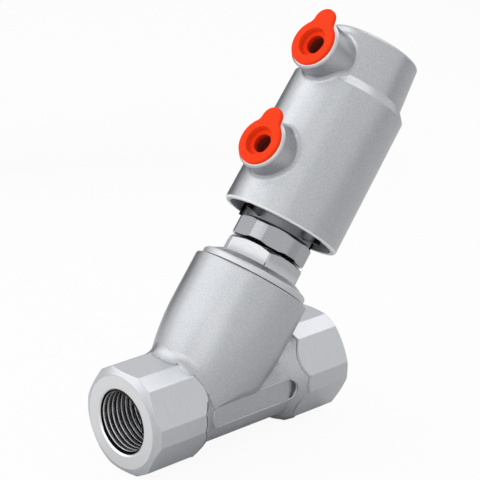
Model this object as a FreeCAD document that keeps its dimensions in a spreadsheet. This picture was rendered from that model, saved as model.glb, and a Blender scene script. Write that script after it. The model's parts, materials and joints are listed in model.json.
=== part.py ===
import FreeCAD, Part
import math
import os
import Sketcher
from FreeCAD import Placement, Rotation, Vector

# Pneumatic filling valve: a Y-pattern valve body cast in one piece, with a hexagon at each
# end of the flow tube and a neck that leans towards the outlet, a screwed bonnet with the
# stem packing, and a small air actuator in a cast housing that drives the plug.
#
# Frame: the origin is the centre of the inlet face, +X is the way of the flow and +Z is up.
# The neck leans over in the XZ plane. Each piece on the leaning axis is drawn in a frame of
# its own, whose Z axis is the leaning axis and whose origin is where that axis crosses the
# flow axis. There -X is the side of the air ports. Heights are measured along that axis.

document = FreeCAD.newDocument("filling_valve")
sheet = document.addObject("Spreadsheet::Sheet", "sizes")
pieces = []


class Size:
    """A value together with the sheet expression that gives it."""

    def __init__(self, value, text):
        self.value = value
        self.text = text

    def combined(self, sign, other, value):
        return Size(value, "(%s %s %s)" % (self.text, sign, as_size(other).text))

    def __add__(self, other):
        return self.combined("+", other, self.value + as_size(other).value)

    def __sub__(self, other):
        return self.combined("-", other, self.value - as_size(other).value)

    def __mul__(self, other):
        return self.combined("*", other, self.value * as_size(other).value)

    def __truediv__(self, other):
        return self.combined("/", other, self.value / as_size(other).value)

    def __neg__(self):
        return Size(-self.value, "(-1 * %s)" % self.text)


def as_size(number):
    return number if isinstance(number, Size) else Size(float(number), repr(float(number)))


def cosine(angle):
    return Size(math.cos(math.radians(angle.value)), "cos(%s)" % angle.text)


def sine(angle):
    return Size(math.sin(math.radians(angle.value)), "sin(%s)" % angle.text)


def tangent(angle):
    return Size(math.tan(math.radians(angle.value)), "tan(%s)" % angle.text)


def root(number):
    return Size(math.sqrt(number.value), "sqrt(%s)" % number.text)


def size(alias, value):
    """One driving dimension, in millimetres or degrees, in the next row of the sheet."""
    size.row += 1
    sheet.set("A%d" % size.row, alias)
    sheet.set("B%d" % size.row, str(value))
    sheet.setAlias("B%d" % size.row, alias)
    return Size(float(value), "sizes.%s" % alias)


size.row = 0

# Body casting, along the flow axis
run_length = size("run_length", 85.0)
crossing = size("crossing", 28.4)
lean = size("lean", 52.5)
hex_flats = size("hex_flats", 33.5)
hex_corner_flats = size("hex_corner_flats", 35.3)
face_radius = size("face_radius", 15.2)
face_bevel = size("face_bevel", 30.0)
tube_radius = size("tube_radius", 15.1)
tube_start = size("tube_start", 26.2)
tube_end = size("tube_end", 59.6)
shoulder_slope = size("shoulder_slope", 25.0)
thread_radius = size("thread_radius", 10.48)
thread_length = size("thread_length", 15.0)
mouth_bevel = size("mouth_bevel", 0.6)
passage_radius = size("passage_radius", 9.0)
panel_start = size("panel_start", 24.6)
panel_end = size("panel_end", 62.0)
panel_height = size("panel_height", 7.6)
panel_centre = size("panel_centre", -0.9)
panel_depth = size("panel_depth", 0.7)

# Body casting, along the leaning axis
neck_radius = size("neck_radius", 19.9)
neck_height = size("neck_height", 43.0)
neck_foot_radius = size("neck_foot_radius", 15.6)
neck_foot_height = size("neck_foot_height", 27.0)
neck_edge_bevel = size("neck_edge_bevel", 0.4)
belly_radius = size("belly_radius", 20.4)
belly_height = size("belly_height", 16.0)
chamber_radius = size("chamber_radius", 15.2)
chamber_floor_radius = size("chamber_floor_radius", 11.0)
chamber_wall_height = size("chamber_wall_height", 9.5)
web_underside = size("web_underside", -1.0)
web_thickness = size("web_thickness", 3.5)
seat_radius = size("seat_radius", 6.5)
seat_lip_radius = size("seat_lip_radius", 8.0)
seat_lip_height = size("seat_lip_height", 1.5)

# Bonnet, its gasket and the lock nut above it
bonnet_thread_radius = size("bonnet_thread_radius", 16.0)
bonnet_thread_length = size("bonnet_thread_length", 14.0)
shank_length = size("shank_length", 13.0)
shank_relief = size("shank_relief", 0.5)
thread_clearance = size("thread_clearance", 0.05)
gasket_width = size("gasket_width", 1.3)
gasket_thickness = size("gasket_thickness", 1.2)
gasket_recess = size("gasket_recess", 0.9)
gasket_clearance = size("gasket_clearance", 0.1)
flange_radius = size("flange_radius", 18.3)
flange_height = size("flange_height", 2.5)
flange_round = size("flange_round", 1.3)
flange_crown = size("flange_crown", 1.5)
wrench_flats = size("wrench_flats", 24.0)
bonnet_hex_flats = size("bonnet_hex_flats", 25.0)
bonnet_hex_height = size("bonnet_hex_height", 5.4)
bonnet_hex_corner_rise = size("bonnet_hex_corner_rise", 1.75)
bonnet_hex_turn = size("bonnet_hex_turn", 47.2)
hex_bevel = size("hex_bevel", 30.0)
nut_gap = size("nut_gap", 0.9)
nut_height = size("nut_height", 6.6)
nut_corner_rise = size("nut_corner_rise", 0.8)
nut_turn = size("nut_turn", 16.9)
spigot_radius = size("spigot_radius", 10.0)
spigot_length = size("spigot_length", 15.6)
spigot_relief = size("spigot_relief", 0.6)

# Stem and its packing
stem_radius = size("stem_radius", 4.0)
stem_clearance = size("stem_clearance", 0.08)
bush_radius = size("bush_radius", 6.5)
bush_length = size("bush_length", 8.0)
packing_radius = size("packing_radius", 7.5)
packing_floor = size("packing_floor", 10.0)
packing_clearance = size("packing_clearance", 0.05)
packing_washer_height = size("packing_washer_height", 1.5)
packing_ring_height = size("packing_ring_height", 2.6)
packing_vee_depth = size("packing_vee_depth", 1.4)
packing_count = 4
follower_height = size("follower_height", 4.0)
gland_nut_height = size("gland_nut_height", 6.0)
gland_slot_width = size("gland_slot_width", 2.4)
gland_slot_depth = size("gland_slot_depth", 2.0)

# Plug
seal_radius = size("seal_radius", 9.0)
seal_thickness = size("seal_thickness", 2.2)
seal_bore = size("seal_bore", 3.2)
plug_radius = size("plug_radius", 10.3)
plug_height = size("plug_height", 8.0)
plug_lip = size("plug_lip", 1.2)
plug_hub_radius = size("plug_hub_radius", 6.2)
plug_rim_height = size("plug_rim_height", 3.4)
plug_socket_depth = size("plug_socket_depth", 3.0)
plug_stud_radius = size("plug_stud_radius", 2.5)
seal_washer_radius = size("seal_washer_radius", 5.9)
seal_washer_height = size("seal_washer_height", 1.2)
plug_nut_flats = size("plug_nut_flats", 8.0)
plug_nut_height = size("plug_nut_height", 4.0)
stud_overhang = size("stud_overhang", 0.8)
fit_clearance = size("fit_clearance", 0.05)
seal_clearance = size("seal_clearance", 0.02)
groove_play = size("groove_play", 0.2)
nut_corner_share = size("nut_corner_share", 0.98)
stem_gap = size("stem_gap", 0.5)
edge_bevel = size("edge_bevel", 0.5)

# Actuator housing
housing_length = size("housing_length", 66.8)
rim_rise = size("rim_rise", 2.4)
cylinder_radius = size("cylinder_radius", 18.0)
rim_wall = size("rim_wall", 2.1)
rim_bevel = size("rim_bevel", 0.5)
barrel_wall = size("barrel_wall", 1.65)
mouth_step = size("mouth_step", 0.3)
crown_height = size("crown_height", 18.8)
crown_inset = size("crown_inset", 0.8)
crown_draft = size("crown_draft", 1.3)
crown_round = size("crown_round", 1.2)
shoulder_height = size("shoulder_height", 3.2)
shoulder_round = size("shoulder_round", 1.2)
cylinder_end_wall = size("cylinder_end_wall", 3.4)
spring_chamber_inset = size("spring_chamber_inset", 4.2)
spring_chamber_bevel = size("spring_chamber_bevel", 45.0)
ceiling_thickness = size("ceiling_thickness", 3.0)

# Air ports and their push-in dust plugs
lower_port_rise = size("lower_port_rise", 3.7)
upper_port_drop = size("upper_port_drop", 12.7)
boss_radius = size("boss_radius", 8.8)
boss_length = size("boss_length", 8.6)
boss_root_round = size("boss_root_round", 2.0)
boss_face_bevel = size("boss_face_bevel", 0.6)
port_radius = size("port_radius", 6.58)
port_depth = size("port_depth", 7.2)
air_hole_radius = size("air_hole_radius", 2.2)
cap_radius = size("cap_radius", 7.9)
cap_thickness = size("cap_thickness", 1.3)
cap_tab_radius = size("cap_tab_radius", 4.0)
cap_tab_reach = size("cap_tab_reach", 8.0)
cap_tab_fillet = size("cap_tab_fillet", 3.0)
cap_edge_bevel = size("cap_edge_bevel", 0.3)
cap_recess_radius = size("cap_recess_radius", 4.9)
cap_recess_depth = size("cap_recess_depth", 2.0)
cap_hole_radius = size("cap_hole_radius", 3.2)
cap_hole_depth = size("cap_hole_depth", 7.0)
cap_barrel_length = size("cap_barrel_length", 6.4)
cap_barrel_clearance = size("cap_barrel_clearance", 0.1)

# Bottom cover of the actuator
hub_wall = size("hub_wall", 1.6)
hub_bevel = size("hub_bevel", 0.5)
pocket_depth = size("pocket_depth", 7.4)
plate_height = size("plate_height", 7.0)
rib_thickness = size("rib_thickness", 1.7)
rib_rise = size("rib_rise", 1.2)
rib_clearance = size("rib_clearance", 0.3)
rib_count = 4
cover_floor = size("cover_floor", 3.6)
cover_bush_radius = size("cover_bush_radius", 5.6)
cover_bush_length = size("cover_bush_length", 4.4)
cover_seal_section = size("cover_seal_section", 1.8)
cover_seal_drop = size("cover_seal_drop", 1.6)
stem_seal_section = size("stem_seal_section", 1.8)

# Piston and return spring
stroke = size("stroke", 10.0)
piston_lift = size("piston_lift", 7.0)
piston_height = size("piston_height", 9.0)
piston_clearance = size("piston_clearance", 0.08)
piston_stud_radius = size("piston_stud_radius", 3.0)
piston_seal_section = size("piston_seal_section", 2.6)
piston_seal_rise = size("piston_seal_rise", 6.2)
wear_ring_height = size("wear_ring_height", 2.2)
wear_ring_thickness = size("wear_ring_thickness", 1.2)
wear_ring_rise = size("wear_ring_rise", 1.0)
wear_ring_gap = size("wear_ring_gap", 1.0)
washer_radius = size("washer_radius", 6.0)
washer_thickness = size("washer_thickness", 1.2)
piston_nut_flats = size("piston_nut_flats", 10.0)
piston_nut_height = size("piston_nut_height", 5.0)
spring_wall_clearance = size("spring_wall_clearance", 0.9)
spring_wire_radius = size("spring_wire_radius", 1.3)
spring_turns = size("spring_turns", 5.0)
spring_wire_sides = 6
spring_seat_depth = size("spring_seat_depth", 1.5)
spring_seat_clearance = size("spring_seat_clearance", 0.4)

document.recompute()
seam_tolerance = 0.001

# Radii that follow from the piece inside: cylinder, spigot or hexagon
rim_radius = cylinder_radius + rim_wall
barrel_top_radius = cylinder_radius + barrel_wall
mouth_radius = cylinder_radius + mouth_step
hub_radius = spigot_radius + hub_wall
crown_radius = cylinder_radius - crown_inset
crown_top_radius = crown_radius - crown_draft
spring_chamber_radius = cylinder_radius - spring_chamber_inset
spring_radius = spring_chamber_radius - spring_wall_clearance - spring_wire_radius
boss_reach = cylinder_radius + boss_length
bonnet_hex_corner_radius = bonnet_hex_flats / 2 + bonnet_hex_corner_rise
nut_corner_radius = wrench_flats / 2 + nut_corner_rise

# Heights along the leaning axis, each worked out from the piece that it stands on
seat_height = web_underside + web_thickness + seat_lip_height
chamber_floor = web_underside + web_thickness
flange_base = neck_height - gasket_recess + gasket_thickness
flange_top = flange_base + flange_height
bonnet_hex_base = flange_top + flange_crown
bonnet_hex_top = bonnet_hex_base + bonnet_hex_height
nut_base = bonnet_hex_top + nut_gap
hub_base = nut_base + nut_height
spigot_top = bonnet_hex_top + spigot_length
shank_base = flange_base - shank_length
packing_base = shank_base + packing_floor
rim_base = hub_base + rim_rise
plate_base = rim_base + pocket_depth
plate_top = plate_base + plate_height
piston_base = plate_top + piston_lift
piston_top = piston_base + piston_height
housing_top = rim_base + housing_length
shoulder_base = housing_top - crown_height
ceiling = housing_top - ceiling_thickness
lower_port = plate_top + lower_port_rise
upper_port = housing_top - upper_port_drop
plug_base = seat_height + seal_thickness
washer_base = seat_height - seal_washer_height
neck_curve = (neck_foot_height * neck_foot_height
              + (neck_radius - neck_foot_radius) * (neck_radius - neck_foot_radius))
neck_curve = neck_curve / ((neck_radius - neck_foot_radius) * 2)


def bind(thing, **bindings):
    """Set properties of an object, bound to the sheet where the value is a Size."""
    for key, value in bindings.items():
        path = key.replace("__", ".")
        if isinstance(value, Size):
            thing.setExpression(path, value.text)
        else:
            setattr(thing, path, value)
    return thing


def plane_of(body, role):
    return [item for item in body.Origin.OriginFeatures if item.Role == role][0]


def new_body(label):
    body = document.addObject("PartDesign::Body", label)
    body.Label = label
    return body


def sketch_on(body, role="XZ_Plane", lift=None):
    """A sketch on one of the body's own planes, or lifted off it."""
    sketch = body.newObject("Sketcher::SketchObject", "%s_sketch" % body.Label)
    sketch.AttachmentSupport = [(plane_of(body, role), "")]
    sketch.MapMode = "FlatFace"
    if lift is not None:
        sketch.setExpression("AttachmentOffset.Base.z", lift.text)
    return sketch


def pin_point(sketch, edge, end, point):
    """Hold one end of an edge, or a circle's centre, at its two sheet-bound coordinates."""
    for name, axis, value in (("DistanceX", -2, point[0]), ("DistanceY", -1, point[1])):
        if isinstance(value, Size):
            rule = Sketcher.Constraint(name, -1, 1, edge, end, value.value)
            sketch.setExpression("Constraints[%d]" % sketch.addConstraint(rule), value.text)
        else:
            sketch.addConstraint(Sketcher.Constraint("PointOnObject", edge, end, axis))


def place_of(point):
    return Vector(as_size(point[0]).value, as_size(point[1]).value, 0)


def draw(sketch, points):
    """A closed outline. Each point is (across, up), or (across, up, radius) where an arc
    leads on to the next point, with its centre on the left for a positive radius."""
    first = sketch.GeometryCount
    ends = []
    for index, point in enumerate(points):
        start = place_of(point)
        stop = place_of(points[(index + 1) % len(points)])
        if len(point) == 2:
            sketch.addGeometry(Part.LineSegment(start, stop), False)
            ends.append((1, 2))
            continue
        radius = point[2]
        side = 1 if radius.value > 0 else -1
        chord = stop - start
        left = Vector(-chord.y, chord.x, 0).normalize()
        reach = math.sqrt(max(radius.value**2 - (chord.Length / 2) ** 2, 0))
        centre = (start + stop) * 0.5 + left * (side * reach)
        tips = (start, stop) if side > 0 else (stop, start)
        angles = [math.atan2((tip - centre).y, (tip - centre).x) for tip in tips]
        ring = Part.Circle(centre, Vector(0, 0, 1), abs(radius.value))
        sketch.addGeometry(Part.ArcOfCircle(ring, angles[0], angles[1]), False)
        ends.append((1, 2) if side > 0 else (2, 1))
        rule = Sketcher.Constraint("Radius", first + index, abs(radius.value))
        text = radius.text if side > 0 else (-radius).text
        sketch.setExpression("Constraints[%d]" % sketch.addConstraint(rule), text)
    for index, point in enumerate(points):
        pin_point(sketch, first + index, ends[index][0], point)
        follower = (index + 1) % len(points)
        sketch.addConstraint(
            Sketcher.Constraint(
                "Coincident", first + index, ends[index][1], first + follower, ends[follower][0]
            )
        )


def draw_circle(sketch, centre, radius):
    edge = sketch.addGeometry(
        Part.Circle(place_of(centre), Vector(0, 0, 1), radius.value), False
    )
    rule = Sketcher.Constraint("Radius", edge, radius.value)
    sketch.setExpression("Constraints[%d]" % sketch.addConstraint(rule), radius.text)
    pin_point(sketch, edge, 3, centre)


def feature(body, kind, sketch, **bindings):
    item = body.newObject("PartDesign::%s" % kind, "%s_%s" % (body.Label, kind.lower()))
    item.Profile = sketch
    if kind in ("Revolution", "Groove"):
        item.ReferenceAxis = (sketch, ["V_Axis"])
        item.Angle = 360
    return bind(item, **bindings)


def turned(body, points, kind="Revolution"):
    """Turn an outline of (radius, height) points about the body's Z axis."""
    sketch = sketch_on(body)
    draw(sketch, points)
    return feature(body, kind, sketch)


def box_outline(inner, low, outer, high):
    return [(inner, low), (outer, low), (outer, high), (inner, high)]


def hexagon(flats, turn):
    """The corners of a hexagon, with its first corner at the angle turn."""
    corner = flats / (cosine(as_size(30)) * 2)
    spots = []
    for step in range(6):
        angle = turn + 60 * step
        spots.append((corner * cosine(angle), corner * sine(angle)))
    return spots


def hex_trim(body, flats, corner, low, high, bevel_low, bevel_high):
    """Turn a hexagon down to a corner radius and bevel its ends."""
    rise = (corner - flats / 2) * tangent(hex_bevel)
    beyond = flats
    points = [(beyond, low), (beyond, high)]
    if bevel_high:
        points += [(flats / 2, high), (corner, high - rise)]
    else:
        points += [(corner, high)]
    if bevel_low:
        points += [(corner, low + rise), (flats / 2, low)]
    else:
        points += [(corner, low)]
    turned(body, points, "Groove")


def on_lean(thing):
    """Stand a piece on the leaning axis, with its origin where that axis meets the flow."""
    tilt = 90 - lean.value
    thing.Placement = Placement(Vector(crossing.value, 0, 0), Rotation(Vector(0, 1, 0), tilt))
    thing.setExpression("Placement.Rotation.Angle", "90 - %s" % lean.text)
    thing.setExpression("Placement.Base.x", crossing.text)
    return thing


def keep(thing, label):
    thing.Label = label
    pieces.append(thing)
    return thing


def ring_piece(label, points):
    """A turned piece on the leaning axis, kept as a part."""
    body = new_body(label)
    turned(body, points)
    return keep(on_lean(body), label)


def dress(body, kind, amount, chosen):
    """Round or bevel the edges of the body's last feature that a test picks out."""
    document.recompute()
    base = body.Tip
    names = [
        "Edge%d" % (index + 1)
        for index, edge in enumerate(base.Shape.Edges)
        if chosen(edge)
    ]
    item = body.newObject("PartDesign::%s" % kind, "%s_%s" % (body.Label, kind.lower()))
    item.Base = (base, names)
    return bind(item, **{"Radius" if kind == "Fillet" else "Size": amount})


def along_edge(edge, test):
    low, high = edge.ParameterRange
    return all(test(edge.valueAt(low + (high - low) * part)) for part in (0.1, 0.35, 0.6, 0.9))


def fused(name, *items):
    item = document.addObject("Part::MultiFuse", name)
    item.Shapes = list(items)
    return item


def common(name, *items):
    item = document.addObject("Part::MultiCommon", name)
    item.Shapes = list(items)
    return item


def hex_bar(name, flats, turn):
    """A hexagonal bar along the whole flow axis."""
    bar = document.addObject("Part::Prism", name)
    bar.Polygon = 6
    bind(bar, Circumradius=flats / (cosine(as_size(30)) * 2), Height=run_length)
    bar.Placement = Placement(
        Vector(), Rotation(Vector(0, 1, 0), 90).multiply(Rotation(Vector(0, 0, 1), turn))
    )
    return bar


def on_flow(body):
    """Lay a turned body down along the flow axis."""
    body.Placement = Placement(Vector(), Rotation(Vector(0, 1, 0), 90))
    return body


def run_outside():
    """Flow tube with a hexagon at each end: turned from a bar with trimmed corners."""
    flats_bar = hex_bar("flats_bar", hex_flats, 30)
    corners_bar = hex_bar("corners_bar", hex_corner_flats, 0)
    outer = hex_flats * 0.6
    bevel = (outer - face_radius) * tangent(face_bevel)
    slope = (outer - tube_radius) / tangent(shoulder_slope)
    envelope = new_body("run_envelope")
    turned(
        envelope,
        [
            (0, 0),
            (face_radius, 0),
            (outer, bevel),
            (outer, tube_start - slope),
            (tube_radius, tube_start),
            (tube_radius, tube_end),
            (outer, tube_end + slope),
            (outer, run_length - bevel),
            (face_radius, run_length),
            (0, run_length),
        ],
    )
    return common("run_outside", flats_bar, corners_bar, on_flow(envelope))


def neck_outside():
    """Leaning neck, drawn in to the flow tube below by a belly that runs along the tube."""
    neck = new_body("neck_shell")
    turned(
        neck,
        [
            (0, 0),
            (neck_foot_radius, 0, neck_curve),
            (neck_radius, neck_foot_height),
            (neck_radius, neck_height - neck_edge_bevel),
            (neck_radius - neck_edge_bevel, neck_height),
            (0, neck_height),
        ],
    )
    belly = new_body("belly")
    sketch = sketch_on(belly, "YZ_Plane")
    draw(
        sketch,
        [
            (-belly_radius, belly_height, belly_radius),
            (0, belly_height - belly_radius, belly_radius),
            (belly_radius, belly_height),
            (belly_radius, neck_height * 2),
            (-belly_radius, neck_height * 2),
        ],
    )
    feature(belly, "Pad", sketch, Length=run_length * 2, Midplane=True)
    return common("neck_outside", on_lean(neck), belly)


def half_space(name, height, above):
    """A large block that starts at a height on the leaning axis and fills one side."""
    block = document.addObject("Part::Box", name)
    bind(block, Length=run_length * 2, Width=run_length * 2, Height=run_length * 2)
    tilt = 90 - lean.value
    turn = Rotation(Vector(0, 1, 0), tilt)
    block.Placement = Placement(Vector(), turn)
    start = height if above else height - run_length * 2
    shift_x = crossing + start * cosine(lean) - run_length * sine(lean)
    shift_z = start * sine(lean) + run_length * cosine(lean)
    block.setExpression("Placement.Rotation.Angle", "90 - %s" % lean.text)
    block.setExpression("Placement.Base.x", shift_x.text)
    block.setExpression("Placement.Base.y", (-run_length).text)
    block.setExpression("Placement.Base.z", shift_z.text)
    return block


def flow_hole(name, points):
    body = new_body(name)
    turned(body, points)
    return on_flow(body)


def passages():
    """What is cut out of the body: threaded ends, slanted passages, seat and chamber."""
    mouth = thread_radius + mouth_bevel
    inlet_end = flow_hole("inlet_end", [
        (0, 0),
        (mouth, 0),
        (thread_radius, mouth_bevel),
        (thread_radius, thread_length),
        (0, thread_length),
    ])
    outlet_end = flow_hole("outlet_end", [
        (0, run_length),
        (0, run_length - thread_length),
        (thread_radius, run_length - thread_length),
        (thread_radius, run_length - mouth_bevel),
        (mouth, run_length),
    ])
    start = thread_length / 2
    through = [(0, start), (passage_radius, start)]
    through += [(passage_radius, run_length - start), (0, run_length - start)]
    inlet = common(
        "inlet_passage", flow_hole("inlet_bore", through),
        half_space("below_web", web_underside, False),
    )
    outlet = common(
        "outlet_passage", flow_hole("outlet_bore", through),
        half_space("above_web", seat_height, True),
    )
    seat_hole = new_body("seat_hole")
    turned(seat_hole, box_outline(0, web_underside * 2, seat_radius, seat_height * 2))
    chamber = new_body("chamber")
    rise = chamber_wall_height
    inset = chamber_radius - chamber_floor_radius
    floor_curve = (rise * rise + inset * inset) / (inset * 2)
    thread_base = neck_height - bonnet_thread_length
    turned(
        chamber,
        [
            (0, seat_height),
            (seat_lip_radius, seat_height),
            (seat_lip_radius, chamber_floor),
            (chamber_floor_radius, chamber_floor, floor_curve),
            (chamber_radius, chamber_floor + rise),
            (chamber_radius, thread_base - (bonnet_thread_radius - chamber_radius)),
            (bonnet_thread_radius, thread_base),
            (bonnet_thread_radius, neck_height - gasket_recess),
            (gasket_outer_radius(), neck_height - gasket_recess),
            (gasket_outer_radius(), neck_height),
            (0, neck_height),
        ],
    )
    return fused(
        "passages", inlet_end, outlet_end, inlet, outlet, on_lean(seat_hole), on_lean(chamber)
    )


def gasket_outer_radius():
    return bonnet_thread_radius + gasket_width + gasket_clearance * 2


def side_panel():
    """Shallow stadium-shaped panel sunk in the side of the flow tube, left bare."""
    panel = new_body("side_panel")
    half = panel_height / 2
    sketch = sketch_on(panel)
    draw(
        sketch,
        [
            (panel_start + half, panel_centre - half),
            (panel_end - half, panel_centre - half, half),
            (panel_end, panel_centre, half),
            (panel_end - half, panel_centre + half),
            (panel_start + half, panel_centre + half, half),
            (panel_start, panel_centre, half),
        ],
    )
    feature(panel, "Pad", sketch, Length=tube_radius, Reversed=False)
    panel.setExpression("Placement.Base.y", (panel_depth - tube_radius).text)
    return panel


def valve_body():
    outside = fused("body_outside", run_outside(), neck_outside())
    cuts = fused("body_cuts", passages(), side_panel())
    body = document.addObject("Part::Cut", "valve_body")
    body.Base = outside
    body.Tool = cuts
    return keep(body, "valve_body")


def seal_ring(label, radius, height, section):
    """A seal ring on its middle circle, with a cord that is drawn with six sides."""
    half = section / 2
    flank = half * cosine(as_size(30))
    ring_piece(label, [
        (radius - half, height),
        (radius - half / 2, height - flank),
        (radius + half / 2, height - flank),
        (radius + half, height),
        (radius + half / 2, height + flank),
        (radius - half / 2, height + flank),
    ])


def body_gasket():
    inner = bonnet_thread_radius + gasket_clearance
    low = neck_height - gasket_recess
    ring_piece("body_gasket", box_outline(inner, low, inner + gasket_width, flange_base))


def bonnet():
    """Bonnet: threaded shank and flange below, hexagon, and a threaded spigot on top."""
    body = new_body("bonnet")
    shank = bonnet_thread_radius - thread_clearance
    spigot = spigot_radius - thread_clearance
    relief = spigot - spigot_relief
    bush_seat = shank_base + bush_length
    turned(
        body,
        [
            (bush_radius, shank_base),
            (shank - edge_bevel, shank_base),
            (shank, shank_base + edge_bevel),
            (shank, flange_base - shank_relief * 4),
            (shank - shank_relief, flange_base - shank_relief * 3),
            (shank - shank_relief, flange_base),
            (flange_radius, flange_base),
            (flange_radius, flange_top - flange_round, flange_round),
            (flange_radius - flange_round, flange_top),
            (bonnet_hex_corner_radius, bonnet_hex_base),
            (relief, bonnet_hex_base),
            (relief, nut_base),
            (spigot, nut_base + spigot_relief),
            (spigot, spigot_top - edge_bevel),
            (spigot - edge_bevel, spigot_top),
            (packing_radius, spigot_top),
            (packing_radius, packing_base),
            (stem_radius + stem_gap, packing_base),
            (stem_radius + stem_gap, bush_seat),
            (bush_radius, bush_seat),
        ],
    )
    sketch = sketch_on(body, "XY_Plane", lift=bonnet_hex_base)
    draw(sketch, hexagon(bonnet_hex_flats, bonnet_hex_turn))
    draw_circle(sketch, (0, 0), (packing_radius + relief) / 2)
    feature(body, "Pad", sketch, Length=bonnet_hex_height)
    hex_trim(
        body, bonnet_hex_flats, bonnet_hex_corner_radius, bonnet_hex_base, bonnet_hex_top,
        False, True,
    )
    keep(on_lean(body), "bonnet")


def vee_ring(label, low, high, vee_below, vee_above):
    """A packing piece whose faces are ridged or grooved to a vee, point upwards."""
    inner = stem_radius + stem_clearance
    outer = packing_radius - packing_clearance
    middle = (inner + outer) / 2
    points = [(inner, low)]
    if vee_below:
        points += [(middle, low + packing_vee_depth)]
    points += [(outer, low), (outer, high)]
    if vee_above:
        points += [(middle, high + packing_vee_depth)]
    points += [(inner, high)]
    ring_piece(label, points)


def packing():
    """Washer, vee rings and follower, one on the other around the stem."""
    height = packing_base + packing_washer_height
    vee_ring("packing_washer", packing_base, height, False, True)
    for count in range(packing_count):
        top = height + packing_ring_height
        vee_ring("packing_ring_%d" % (count + 1), height, top, True, True)
        height = top
    vee_ring("packing_follower", height, height + follower_height, True, False)
    return height + follower_height


def gland_nut(low):
    """Threaded ring with a screwdriver slot, which presses the packing down."""
    body = new_body("gland_nut")
    high = low + gland_nut_height
    outer = packing_radius - thread_clearance
    turned(body, box_outline(stem_radius + stem_gap, low, outer, high))
    sketch = sketch_on(body, "XY_Plane", lift=high)
    half = gland_slot_width / 2
    reach = packing_radius * 2
    draw(sketch, [(-reach, -half), (reach, -half), (reach, half), (-reach, half)])
    feature(body, "Pocket", sketch, Length=gland_slot_depth)
    keep(on_lean(body), "gland_nut")


def hex_nut(label, flats, corner, turn, low, high, bore, bevel_low, bevel_high):
    body = new_body(label)
    sketch = sketch_on(body, "XY_Plane", lift=low)
    draw(sketch, hexagon(flats, turn))
    draw_circle(sketch, (0, 0), bore)
    feature(body, "Pad", sketch, Length=high - low)
    hex_trim(body, flats, corner, low, high, bevel_low, bevel_high)
    keep(on_lean(body), label)


def stem():
    """Stem: a stud for the plug below, and a stud for the piston above a shoulder."""
    foot = plug_base + plug_height - plug_socket_depth
    stud_end = washer_base - plug_nut_height - stud_overhang
    top = piston_top + washer_thickness + piston_nut_height + stud_overhang
    ring_piece("stem", [
        (0, stud_end),
        (plug_stud_radius - edge_bevel, stud_end),
        (plug_stud_radius, stud_end + edge_bevel),
        (plug_stud_radius, foot),
        (stem_radius, foot),
        (stem_radius, piston_base),
        (piston_stud_radius, piston_base),
        (piston_stud_radius, top - edge_bevel),
        (piston_stud_radius - edge_bevel, top),
        (0, top),
    ])


def plug_group():
    """Plug disc with a soft seal clamped under it by a washer and a nut."""
    bore = plug_stud_radius + fit_clearance
    socket = stem_radius + fit_clearance
    shoulder = plug_base + plug_height - plug_socket_depth
    ring_piece("plug_disc", [
        (bore, seat_height + seal_clearance),
        (seal_bore - fit_clearance, seat_height + seal_clearance),
        (seal_bore - fit_clearance, plug_base),
        (seal_radius + fit_clearance, plug_base),
        (seal_radius + fit_clearance, plug_base - plug_lip),
        (plug_radius, plug_base - plug_lip),
        (plug_radius, plug_base + plug_rim_height - edge_bevel),
        (plug_radius - edge_bevel, plug_base + plug_rim_height),
        (plug_hub_radius, plug_base + plug_rim_height),
        (plug_hub_radius, plug_base + plug_height - edge_bevel),
        (plug_hub_radius - edge_bevel, plug_base + plug_height),
        (socket, plug_base + plug_height),
        (socket, shoulder),
        (bore, shoulder),
    ])
    ring_piece("seat_seal", box_outline(seal_bore, seat_height, seal_radius, plug_base))
    ring_piece("seal_washer", box_outline(bore, washer_base, seal_washer_radius, seat_height))
    corner = plug_nut_flats / (cosine(as_size(30)) * 2)
    hex_nut(
        "plug_nut", plug_nut_flats, corner * nut_corner_share, as_size(0),
        washer_base - plug_nut_height, washer_base, bore, True, False,
    )


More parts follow.
